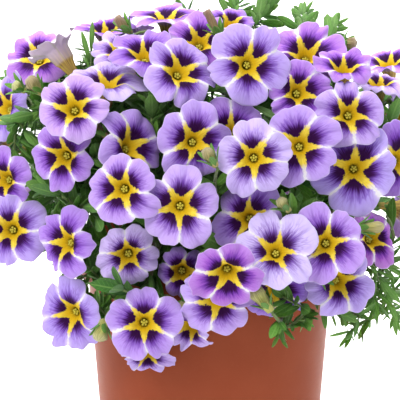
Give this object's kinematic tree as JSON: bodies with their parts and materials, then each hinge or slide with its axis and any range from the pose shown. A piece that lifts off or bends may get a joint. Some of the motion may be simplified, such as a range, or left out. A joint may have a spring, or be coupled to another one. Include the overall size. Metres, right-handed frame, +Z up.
{
  "type": "potted calibrachoa",
  "caption": "Dome of star-marked violet and lilac calibrachoa blooms on leafy shoots, in a round tapered plastic pot",
  "frame": {"origin": "middle of the pot's underside, on the face that it stands on", "axes": "+Z up the pot's axis; the picture looks along +Y with +X to its right"},
  "size_m": [0.1937, 0.1977, 0.2189],
  "materials": {
    "pot": "terracotta-coloured moulded plastic, slight gloss",
    "soil": "moist peat potting mix",
    "foliage": "soft hairy green leaf and stem",
    "petals": "velvety petal, lilac to violet with a yellow star"
  },
  "bodies": {
    "root": {"pot": "pot", "soil": "soil", "shoot_1": "foliage", "shoot_2": "foliage", "shoot_3": "foliage", "shoot_4": "foliage", "shoot_5": "foliage", "shoot_6": "foliage", "shoot_7": "foliage", "shoot_8": "foliage", "bloom_top_edge": "petals", "bloom_top_peek": "petals", "bloom_top_back": "petals", "bloom_top_side": "petals", "bloom_left_pale": "petals", "bloom_top_dark": "petals", "bloom_right_pale": "petals", "bloom_right_rim_upper": "petals", "bloom_right_rim": "petals", "bloom_left_rim_upper": "petals", "bloom_left_rim": "petals", "bloom_centre_back": "petals", "bloom_upper_right_back": "petals", "bloom_right_cup": "petals", "bloom_right_corner": "petals", "bloom_right_inner_back": "petals", "bloom_right_low": "petals", "bloom_low_inner": "petals", "bloom_low_shaded": "petals", "bloom_low_behind": "petals", "bloom_left_low_back": "petals", "bloom_left_upper": "petals", "bloom_left_crown": "petals", "bloom_left_funnel": "petals", "bloom_upper_middle": "petals", "bloom_right_upper": "petals", "bloom_left_inner": "petals", "bloom_right_big": "petals", "bloom_left_low_side": "petals", "bloom_centre_upper": "petals", "bloom_right_inner": "petals", "bloom_low_left_back": "petals", "bloom_low_foot": "petals", "bloom_low_middle": "petals", "bloom_right_low_front": "petals", "bloom_left_middle": "petals", "bloom_left_front": "petals", "bloom_right_middle": "petals", "bloom_upper_big": "petals", "bloom_centre_left": "petals", "bloom_centre_right": "petals", "bloom_low_folded": "petals", "bloom_centre_front": "petals", "bloom_left_outer": "petals", "bloom_lower_left": "petals", "bloom_lower_front": "petals", "bloom_front_pale": "petals"}
  },
  "joints": []
}
